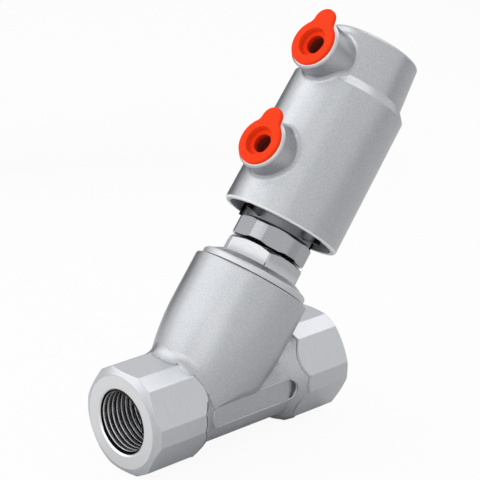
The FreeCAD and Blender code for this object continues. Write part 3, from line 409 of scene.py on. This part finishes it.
# Anodised aluminium: pale, with its fine etched grain drawn at 0.3 mm so that it shows.
piston_alloy = grained("anodised_aluminium", "#BFC1C4", "#CFD1D3", 0.36, 0.3 * MM, 0.3,
                       Metallic=1.0)


def loose_object(name, data):
    """A new object of the scene, for a mesh, a lamp or a camera."""
    item = bpy.data.objects.new(name, data)
    bpy.context.scene.collection.objects.link(item)
    return item


def new_piece(name, mesh, material):
    """A piece of the valve's fixed body, with its material."""
    piece = loose_object(name, mesh)
    mesh.materials.clear()
    mesh.materials.append(material)
    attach(piece, "valve")
    return piece


def add_finishes(piece, *finishes):
    """More finishes for some faces of a piece, each with the mask of its faces. Faces past the
    end of a mask keep the first finish."""
    kinds = np.zeros(len(piece.data.polygons), np.int32)
    for number, (material, chosen) in enumerate(finishes, 1):
        piece.data.materials.append(material)
        kinds[np.flatnonzero(chosen)] = number
    piece.data.polygons.foreach_set("material_index", kinds)


def finished(piece):
    """The mesh of a piece with its modifiers applied; the piece itself is thrown away."""
    bpy.context.view_layer.update()
    mesh = bpy.data.meshes.new_from_object(
        piece.evaluated_get(bpy.context.evaluated_depsgraph_get())
    )
    bpy.data.objects.remove(piece)
    return mesh


def joined_copy(node):
    """A copy of a CAD node's mesh with its loose triangles joined."""
    shape = bmesh.new()
    shape.from_mesh(nodes[node].data)
    bmesh.ops.remove_doubles(shape, verts=shape.verts, dist=0.001 * MM)
    mesh = bpy.data.meshes.new("joined_" + node)
    shape.to_mesh(mesh)
    shape.free()
    return mesh


def broken_edges(mesh, edge, segments):
    """A mesh with its facets merged, shaded smooth, and its sharp outside edges rounded off."""
    shape = bmesh.new()
    shape.from_mesh(mesh)
    bmesh.ops.dissolve_limit(shape, angle_limit=LEVEL, verts=shape.verts, edges=shape.edges)
    weights = shape.edges.layers.float.new("bevel_weight_edge")
    for line in shape.edges:
        if len(line.link_faces) == 2 and line.calc_face_angle_signed() > SHARP:
            line[weights] = 1.0
    shape.to_mesh(mesh)
    shape.free()
    mesh.shade_smooth()
    piece = loose_object("edge_work", mesh)
    bevel = piece.modifiers.new("broken_edges", "BEVEL")
    bevel.width = edge
    bevel.segments = segments
    bevel.limit_method = "WEIGHT"
    bevel.use_clamp_overlap = False
    level = piece.modifiers.new("level_faces", "WEIGHTED_NORMAL")
    level.mode = "FACE_AREA"
    level.weight = 80
    return finished(piece)


def dressed(node, name, material, edge=EDGE, segments=2):
    """A CAD node's shape with its facets shaded smooth and its edges broken."""
    mesh = broken_edges(joined_copy(node), edge, segments)
    piece = new_piece(name, mesh, material)
    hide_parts(node)
    return piece


def values_of(items, name):
    """One vector of each item of a mesh, such as a face's centre, as rows of an array."""
    values = np.empty(len(items) * 3, np.float32)
    items.foreach_get(name, values)
    return values.reshape(-1, 3).astype(float)


def lean_place(points):
    """How high points lie along the leaning axis, and how far from it."""
    lean = points - np.array(CROSSING)
    height = lean @ np.array(AXIS)
    return height, np.linalg.norm(lean - height[:, None] * np.array(AXIS), axis=1)


def hex_depth(points):
    """How far points lie outside (+) or inside (-) the twelve flats of the body's ends."""
    depth = np.full(len(points), -1.0)
    for angle, reach in FLATS:
        past = points[:, 1] * math.cos(angle) + points[:, 2] * math.sin(angle) - reach
        depth = np.maximum(depth, past)
    return depth


def mean_beside(values, pairs, count):
    """For each vertex, the mean of its neighbours' values."""
    near, far = np.concatenate([pairs, pairs[:, ::-1]]).T
    sums = [np.bincount(near, column[far], len(values)) for column in values.T]
    return np.array(sums).T / count[:, None]


def even_skin(mesh):
    """The surface of a mesh as squares of one size."""
    piece = loose_object("skin", mesh.copy())
    remesh = piece.modifiers.new("even_skin", "REMESH")
    remesh.mode = "VOXEL"
    remesh.voxel_size = SKIN_PITCH
    return finished(piece)


def off_root(places):
    """Which places the root keeps away from: the passages, and what lies past or under it."""
    height, off_axis = lean_place(places)
    away = np.hypot(places[:, 1], places[:, 2]) < TUBE_INSIDE
    away |= (off_axis < NECK_INSIDE) & (height > NECK_INSIDE_FROM)
    return away | (places[:, 0] > ROOT_END) | (places[:, 2] < ROOT_LOW)


def cast_roots(mesh):
    """Soft root of the neck above the inlet: the skin of the body, remeshed evenly and relaxed
    on both sides of the hollow seam, as far as it then stands proud of the sharp corner."""
    skin = even_skin(mesh)
    places = values_of(skin.vertices, "co")
    normals = values_of(skin.vertices, "normal")
    pairs = np.empty(len(skin.edges) * 2, np.int32)
    skin.edges.foreach_get("vertices", pairs)
    pairs = pairs.reshape(-1, 2)
    count = np.bincount(pairs.ravel(), minlength=len(places)).astype(float)
    bend = mean_beside(places, pairs, count) - places
    hollow = np.einsum("ij,ij->i", bend, normals) / SKIN_PITCH
    away = off_root(places)
    seam = places[(hollow > SEAM_HOLLOW) & ~away]
    near = np.flatnonzero(~away & (places[:, 0] > ROOT_START))
    gap = np.array([np.linalg.norm(seam - spot, axis=1).min() for spot in places[near]])
    weight = np.zeros(len(places))
    weight[near] = np.clip((ROOT_REACH - gap) / ROOT_EDGE, 0.0, 1.0)
    # The root runs out to a sharp crease below the two upper flats.
    weight *= np.clip((places[:, 2] - ROOT_RUN_OUT) / ROOT_FADE, 0.0, 1.0) ** 2
    relaxed = places.copy()
    for _ in range(ROOT_ROUNDS):
        pull = mean_beside(relaxed, pairs, count) - relaxed
        relaxed += pull * weight[:, None] * ROOT_PULL
    proud = np.einsum("ij,ij->i", relaxed - places, normals)
    relaxed -= normals * ROOT_LAP * ROOT_SINK
    skin.vertices.foreach_set("co", relaxed.astype(np.float32).ravel())
    shape = bmesh.new()
    shape.from_mesh(skin)
    shape.verts.ensure_lookup_table()
    low = [v for v in shape.verts if proud[v.index] < ROOT_LAP]
    bmesh.ops.delete(shape, geom=low, context="VERTS")
    shape.to_mesh(skin)
    shape.free()
    skin.shade_smooth()
    return skin


def cast_body():
    """Body casting: crisp where it was machined, with a soft root where the neck leaves the tube.
    The hexagon flats are milled, the ends turned, and the bore past its bevel painted dark as
    shade."""
    sharp = joined_copy("valve_body")
    roots = cast_roots(sharp)
    mesh = broken_edges(sharp, BODY_EDGE, segments=3)
    centres = values_of(mesh.polygons, "center")
    endways = np.abs(values_of(mesh.polygons, "normal")[:, 0])
    radius = np.hypot(centres[:, 1], centres[:, 2])
    from_end = np.minimum(centres[:, 0], RUN_LENGTH - centres[:, 0])
    on_flat = (np.abs(hex_depth(centres)) < CUT_SLACK) & (endways < FLAT_TILT)
    on_flat &= (centres[:, 0] < TUBE_START) | (centres[:, 0] > TUBE_END)
    on_flat |= (from_end < CHAMFER_LENGTH) & (radius > CHAMFER_RADIUS)
    on_end = (from_end < CUT_SLACK) & (endways > END_TILT)
    in_bore = (radius < THREAD_RADIUS + BORE_SLACK) & (from_end < BORE_DEPTH)
    whole = bmesh.new()
    whole.from_mesh(mesh)
    whole.from_mesh(roots)
    whole.to_mesh(mesh)
    whole.free()
    piece = new_piece("body_casting", mesh, cast)
    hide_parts("valve_body")
    # The bore past the mouth's bevel is painted dark, as shade.
    add_finishes(piece, (milled, on_flat), (end_turned, on_end | in_bore),
                 (bore_shade, in_bore & (from_end > MOUTH_BEVEL)))


def finish_housing(housing):
    """The mouth of the housing, its inner wall and the faces of its bosses are turned; the mouth
    and the wall are painted near white as a highlight.
    """
    centres = values_of(housing.data.polygons, "center")
    height, off_axis = lean_place(centres)
    out = centres @ np.array(BOSS_WAY) - BOSS_WAY.dot(CROSSING)
    in_mouth = off_axis < MOUTH_RADIUS + WALL_SLACK
    rim = (height < HOUSING_MOUTH + MOUTH_BAND) & ~in_mouth
    wall = in_mouth & (height > HOUSING_MOUTH + WALL_FROM) & (height < HOUSING_MOUTH + WALL_TO)
    add_finishes(housing, (rim_turned, out > BOSS_FACE - BOSS_BAND), (matte_turned, rim | wall))


def finish_bonnet(bonnet):
    """The flange of the bonnet is less polished than its hexagon; its threads and bore, further
    in, are painted nearly black as shade."""
    height, off_axis = lean_place(values_of(bonnet.data.polygons, "center"))
    flange = (height < HEX_BASE) & (off_axis > SHANK_RADIUS)
    add_finishes(bonnet, (gap_shade, off_axis < SHANK_RADIUS), (flange_steel, flange))


def lip(name, points, thick, closed=True):
    """A thin round lip along a line on the skin of the body; an open one tapers to its tips."""
    points = np.array(points)
    count = len(points)
    if closed:
        along = np.roll(points, -1, axis=0) - np.roll(points, 1, axis=0)
        size = np.full(count, thick)
    else:
        along = np.gradient(points, axis=0)
        from_tip = np.minimum(np.arange(count), np.arange(count)[::-1])
        size = thick * np.clip((from_tip + TIP_START) / TIP_POINTS, 0.0, 1.0)
    along /= np.linalg.norm(along, axis=1)[:, None]
    out = points * (0, 1, 1)
    out -= np.einsum("ij,ij->i", out, along)[:, None] * along
    out /= np.linalg.norm(out, axis=1)[:, None]
    side = np.cross(along, out)
    strands = []
    for step in range(LIP_SIDES):
        angle = 2 * math.pi * step / LIP_SIDES
        strand = points + size[:, None] * (out * math.cos(angle) + side * math.sin(angle))
        # Under the end's lowest flat the lip runs out level with it.
        strand[:, 2] = np.maximum(strand[:, 2], FLAT_GAP - HEX_FLATS / 2)
        strands.append(strand)
    faces = []
    for step in range(LIP_SIDES):
        here, beside = step * count, (step + 1) % LIP_SIDES * count
        for spot in range(count if closed else count - 1):
            after = (spot + 1) % count
            faces.append((here + spot, beside + spot, beside + after, here + after))
    if not closed:
        faces.append([step * count for step in reversed(range(LIP_SIDES))])
        faces.append([step * count + count - 1 for step in range(LIP_SIDES)])
    mesh = bpy.data.meshes.new(name)
    mesh.from_pydata(np.concatenate(strands).tolist(), [], faces)
    mesh.update()
    mesh.shade_smooth()
    new_piece(name, mesh, cast)


def shoulder_line(start, end, inlet):
    """Where the cast shoulder meets the flats of one end, a point for each degree."""
    points = []
    for step in range(start, end):
        angle = math.radians(step)
        # The least cosine, 0.1, keeps a flat that faces away from being the nearest.
        radius = min(reach / max(math.cos(angle - turn), 0.1) for turn, reach in FLATS)
        past = (radius - TUBE_RADIUS) / SHOULDER_RISE
        place = TUBE_START - past if inlet else TUBE_END + past
        points.append((place, radius * math.cos(angle), radius * math.sin(angle)))
    return points


def stadium(start, end, half, steps):
    """Evenly spaced points round a slot with two round ends, from its lower left corner."""
    length = end - start - 2 * half
    bend = math.pi * half
    points = []
    for step in range(steps):
        run = (2 * length + 2 * bend) * step / steps
        if run < length:
            points.append((start + half + run, -half))
        elif run < length + bend:
            turn = (run - length) / half
            points.append((end - half + half * math.sin(turn), -half * math.cos(turn)))
        elif run < 2 * length + bend:
            points.append((end - half - (run - length - bend), half))
        else:
            turn = (run - 2 * length - bend) / half
            points.append((start + half - half * math.sin(turn), half * math.cos(turn)))
    return points


def panel_line():
    """The rim of the panel on the side of the flow tube, laid on the skin of the body."""
    shape = bmesh.new()
    shape.from_mesh(joined_copy("valve_body"))
    skin = BVHTree.FromBMesh(shape)
    shape.free()
    line = []
    for x, z in stadium(PANEL_START, PANEL_END, PANEL_HALF + PANEL_MARGIN, PANEL_STEPS):
        z += PANEL_MIDDLE
        hit = skin.ray_cast(Vector((x, -HEX_FLATS, z)), Vector((0, 1, 0)))[0]
        line.append((x, hit.y, z))
    line = np.array(line)
    past = np.maximum(TUBE_START - line[:, 0], line[:, 0] - TUBE_END)
    tube = TUBE_RADIUS + SHOULDER_RISE * np.maximum(past, 0.0)
    on_belly = np.flatnonzero(np.hypot(line[:, 1], line[:, 2]) > tube + BELLY_RISE)
    # The belly of the neck hangs over part of the rim: the line runs round from there.
    return np.concatenate([line[on_belly.max() + 1:], line[:on_belly.min()]])


def coil_tree():
    """Geometry Nodes tree that winds a section along a helix, for threads and springs."""
    tree = bpy.data.node_groups.new("wound_section", "GeometryNodeTree")
    for name, kind, value in (
        ("Coil Radius", "NodeSocketFloat", 10 * MM),
        ("Height", "NodeSocketFloat", 10 * MM),
        ("Turns", "NodeSocketFloat", 5.0),
        ("Steps per Turn", "NodeSocketInt", 72),
        ("Section Radius", "NodeSocketFloat", 1 * MM),
        ("Section Sides", "NodeSocketInt", 12),
        ("Section Turn", "NodeSocketFloat", 0.0),
        ("Crest Round", "NodeSocketFloat", 0.1 * MM),
        ("Material", "NodeSocketMaterial", None),
    ):
        socket = tree.interface.new_socket(name, in_out="INPUT", socket_type=kind)
        if value is not None:
            socket.default_value = value
    tree.interface.new_socket("Geometry", in_out="OUTPUT", socket_type="NodeSocketGeometry")
    given = add(tree, "NodeGroupInput").outputs
    helix = add(tree, "GeometryNodeCurveSpiral", Resolution=given["Steps per Turn"],
                Rotations=given["Turns"], Start_Radius=given["Coil Radius"],
                End_Radius=given["Coil Radius"], Height=given["Height"])
    upright = add(tree, "GeometryNodeSetCurveNormal", {"mode": "Z_UP"}, Curve=helix.outputs[0])
    section = add(tree, "GeometryNodeCurvePrimitiveCircle", {"mode": "RADIUS"},
                  Resolution=given["Section Sides"], Radius=given["Section Radius"])
    turn = add(tree, "ShaderNodeCombineXYZ", Z=given["Section Turn"])
    section = add(tree, "GeometryNodeTransform", Geometry=section.outputs[0],
                  Rotation=turn.outputs[0])
    section = add(tree, "GeometryNodeFilletCurve", Curve=section.outputs[0],
                  Radius=given["Crest Round"])
    coil = add(tree, "GeometryNodeCurveToMesh", Curve=upright.outputs[0],
               Profile_Curve=section.outputs[0], Fill_Caps=True)
    smooth = add(tree, "GeometryNodeSetShadeSmooth", Geometry=coil.outputs[0])
    real = add(tree, "GeometryNodeRealizeInstances", Geometry=smooth.outputs[0])
    real = add(tree, "GeometryNodeSetMaterial", Geometry=real.outputs[0],
               Material=given["Material"])
    add(tree, "NodeGroupOutput", Geometry=real.outputs[0])
    return tree


winding_tree = coil_tree()


def wound(name, start, way, spin=0.0, **inputs):
    """A mesh from the winding tree that rises from a start along a way."""
    piece = loose_object(name, bpy.data.meshes.new(name))
    winding = piece.modifiers.new("winding", "NODES")
    winding.node_group = winding_tree
    for item in winding_tree.interface.items_tree:
        key = item.name.replace(" ", "_")
        if item.in_out == "INPUT" and key in inputs:
            winding[item.identifier] = inputs[key]
    mesh = finished(piece)
    upright = way.to_track_quat("Z", "Y").to_matrix().to_4x4()
    mesh.transform(Matrix.Translation(start) @ upright @ Matrix.Rotation(spin, 4, "Z"))
    return mesh


def pipe_thread(name, start, way):
    """Ridge of a pipe thread, 55 degrees, wound inside the bore of one end."""
    # The section is a triangle, 1.5 times as high as its corners are far from its middle.
    across = (THREAD_RADIUS - THREAD_CREST + CREST_LOSS + RIDGE_SEAT) / 1.5
    mesh = wound(
        name, start, way, spin=math.pi, Coil_Radius=THREAD_CREST + across - CREST_LOSS,
        Height=THREAD_LENGTH, Turns=THREAD_LENGTH / THREAD_PITCH, Steps_per_Turn=72,
        Section_Radius=across, Section_Sides=3, Section_Turn=math.pi, Crest_Round=CREST_ROUND,
        Material=thread_steel,
    )
    new_piece(name, mesh, thread_steel)


def return_spring():
    """Coil spring between the piston and the top of its chamber."""
    length = SPRING_TOP - SPRING_FOOT
    mesh = wound(
        "spring_wire", CROSSING + AXIS * (SPRING_FOOT + WIRE_RADIUS), AXIS,
        Coil_Radius=SPRING_RADIUS, Height=length - 2 * WIRE_RADIUS, Turns=SPRING_TURNS,
        Steps_per_Turn=48, Section_Radius=WIRE_RADIUS, Section_Sides=16, Section_Turn=0.0,
        Crest_Round=0.0, Material=spring_steel,
    )
    piece = new_piece("spring_wire", mesh, spring_steel)
    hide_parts("return_spring")
    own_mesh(piece)


finish_of_slot = {
    "cast_stainless": cast,
    "turned_stainless": stem_steel,
    "nut_stainless": nut_steel,
    "spring_steel": spring_steel,
    "piston_aluminium": piston_alloy,
    "white_ptfe": white_ptfe,
    "black_rubber": black_rubber,
    "bush_bronze": bush_bronze,
    "cap_plastic": cap_red,
}
for entry in frame["record"]["subparts"]:
    node = nodes[entry["node"]]
    finish = finish_of_slot[entry["material_slot"]]
    if node.material_slots:
        for spot in node.material_slots:
            spot.material = finish
    else:
        node.data.materials.append(finish)

# The pieces
cast_body()
finish_housing(dressed("actuator_housing", "housing_casting", cast, FINE_EDGE))
finish_bonnet(dressed("bonnet", "bonnet_turned", bonnet_steel))
dressed("lock_nut", "lock_nut_milled", nut_steel, FINE_EDGE)
dressed("end_cover", "end_cover_turned", cover_steel)
for node, name in (("port_cap_lower", "cap_lower"), ("port_cap_upper", "cap_upper")):
    cap = dressed(node, name, cap_red, FINE_EDGE, segments=3)
    # In reflections the caps would tint the polished steel round them.
    cap.visible_glossy = False
# The root of the neck hides the inlet's shoulder between 14 and 166 degrees.
lip("inlet_shoulder_lip", shoulder_line(166, 374, inlet=True), FINE_LIP, closed=False)
lip("outlet_shoulder_lip", shoulder_line(0, 360, inlet=False), LIP)
lip("panel_lip", panel_line(), LIP, closed=False)
pipe_thread("inlet_thread", FLOW_WAY * THREAD_START, FLOW_WAY)
pipe_thread("outlet_thread", FLOW_WAY * (RUN_LENGTH - THREAD_START), -FLOW_WAY)
return_spring()


def paper_sheet(name, wide, tall, height=0.0):
    """A flat sheet of the studio, still without its material."""
    x, y = wide / 2, tall / 2
    mesh = bpy.data.meshes.new(name)
    mesh.from_pydata(
        [(-x, -y, height), (x, -y, height), (x, y, height), (-x, y, height)], [], [(0, 1, 2, 3)]
    )
    sheet = loose_object(name, mesh)
    sheet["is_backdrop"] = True
    return sheet


def white_floor():
    """Pale matte floor at the foot of the valve, which the camera sees as nearly white."""
    floor = paper_sheet("floor", FLOOR_SIDE, FLOOR_SIDE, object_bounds()[0][2])
    paper, tree, _ = new_material("white_paper_floor")
    matte = add(tree, "ShaderNodeBsdfPrincipled", Base_Color=linear("#F4F4F4"), Roughness=0.9)
    glow = add(tree, "ShaderNodeEmission", Color=(1, 1, 1, 1), Strength=1.0)
    path = add(tree, "ShaderNodeLightPath").outputs
    share = add(tree, "ShaderNodeMath", {"operation": "MULTIPLY"}, _0=path["Is Camera Ray"],
                _1=FLOOR_GLOW)
    mixed = add(tree, "ShaderNodeMixShader", _0=share.outputs[0], _1=matte.outputs[0],
                _2=glow.outputs[0])
    add(tree, "ShaderNodeOutputMaterial", Surface=mixed.outputs[0])
    floor.data.materials.append(paper)


def white_room():
    """White surroundings, full where they are seen or mirrored and softer as a light."""
    world = bpy.data.worlds.new("white_room")
    bpy.context.scene.world = world
    world.use_nodes = True
    tree = world.node_tree
    tree.nodes.clear()
    path = add(tree, "ShaderNodeLightPath").outputs
    seen = add(tree, "ShaderNodeMath", {"operation": "MAXIMUM"}, _0=path["Is Camera Ray"],
               _1=path["Is Transmission Ray"])
    seen = add(tree, "ShaderNodeMath", {"operation": "MAXIMUM"}, _0=seen.outputs[0],
               _1=path["Is Glossy Ray"])
    strength = add(tree, "ShaderNodeMapRange", Value=seen.outputs[0], To_Min=ROOM_LIGHT,
                   To_Max=1.0)
    back = add(tree, "ShaderNodeBackground", Color=(1, 1, 1, 1), Strength=strength.outputs[0])
    add(tree, "ShaderNodeOutputWorld", Surface=back.outputs[0])


def aim(item, way, far, front):
    """Put a lamp or a card round the valve, with its front turned to the valve's middle."""
    item.location = LOOK_AT + Vector(way).normalized() * far
    item.rotation_euler = (LOOK_AT - item.location).to_track_quat(front, "Y").to_euler()


def soft_lamps():
    """Square soft boxes: the way out to each, its distance, its side and its brightness."""
    for name, way, far, side, brightness in (
        ("left_key", (-0.64, 0.5, 0.52), 0.65, 0.66, 0.72),
        ("front_fill", (-0.85, -0.35, 0.5), 0.7, 0.5, 0.58),
        ("back_light", (-0.1, 0.75, 0.68), 0.7, 0.4, 0.8),
        ("top_light", (0.5, 0.02, 0.86), 0.65, 0.48, 0.92),
    ):
        lamp = bpy.data.lights.new(name, "AREA")
        lamp.size = side
        lamp.energy = brightness * math.pi * side ** 2
        aim(loose_object(name, lamp), way, far, "-Z")


def grey_cards():
    """Cards round the valve, seen only in the metal, that give its round sides their shade:
    the way out to each, its distance, its width and height, and its grey."""
    for name, way, far, wide, tall, shade in (
        ("right_card", (0.75, -0.55, -0.1), 1.2, 0.6, 0.6, "#C4C4C6"),
        ("back_card", (0.24, 0.95, -0.08), 0.7, 0.4, 0.4, "#5A5A5C"),
        ("low_card", (0.45, 0.88, -0.05), 0.27, 0.32, 0.1, "#606062"),
        ("far_card", (0.88, 0.36, 0.2), 0.7, 0.32, 0.3, "#505052"),
    ):
        card = paper_sheet(name, wide, tall)
        aim(card, way, far, "Z")
        grey, _, _ = new_material(name + "_paper")
        card.data.materials.append(surfaced(grey, Base_Color=linear(shade), Roughness=0.9))
        card.visible_camera = False
        card.visible_shadow = False


def photo_camera():
    """The photograph's camera."""
    camera = bpy.data.cameras.new("photo_camera")
    camera.sensor_width = 36.0
    camera.lens = CAMERA_LENS
    camera.clip_start = 0.01
    camera.clip_end = 20.0
    holder = loose_object("photo_camera", camera)
    turn = (LOOK_AT - CAMERA_PLACE).to_track_quat("-Z", "Y").to_matrix().to_4x4()
    holder.rotation_euler = (turn @ Matrix.Rotation(CAMERA_ROLL, 4, "Z")).to_euler()
    holder.location = CAMERA_PLACE
    bpy.context.scene.camera = holder


# The studio
bpy.context.scene.view_settings.view_transform = "Standard"
white_floor()
white_room()
soft_lamps()
grey_cards()
photo_camera()
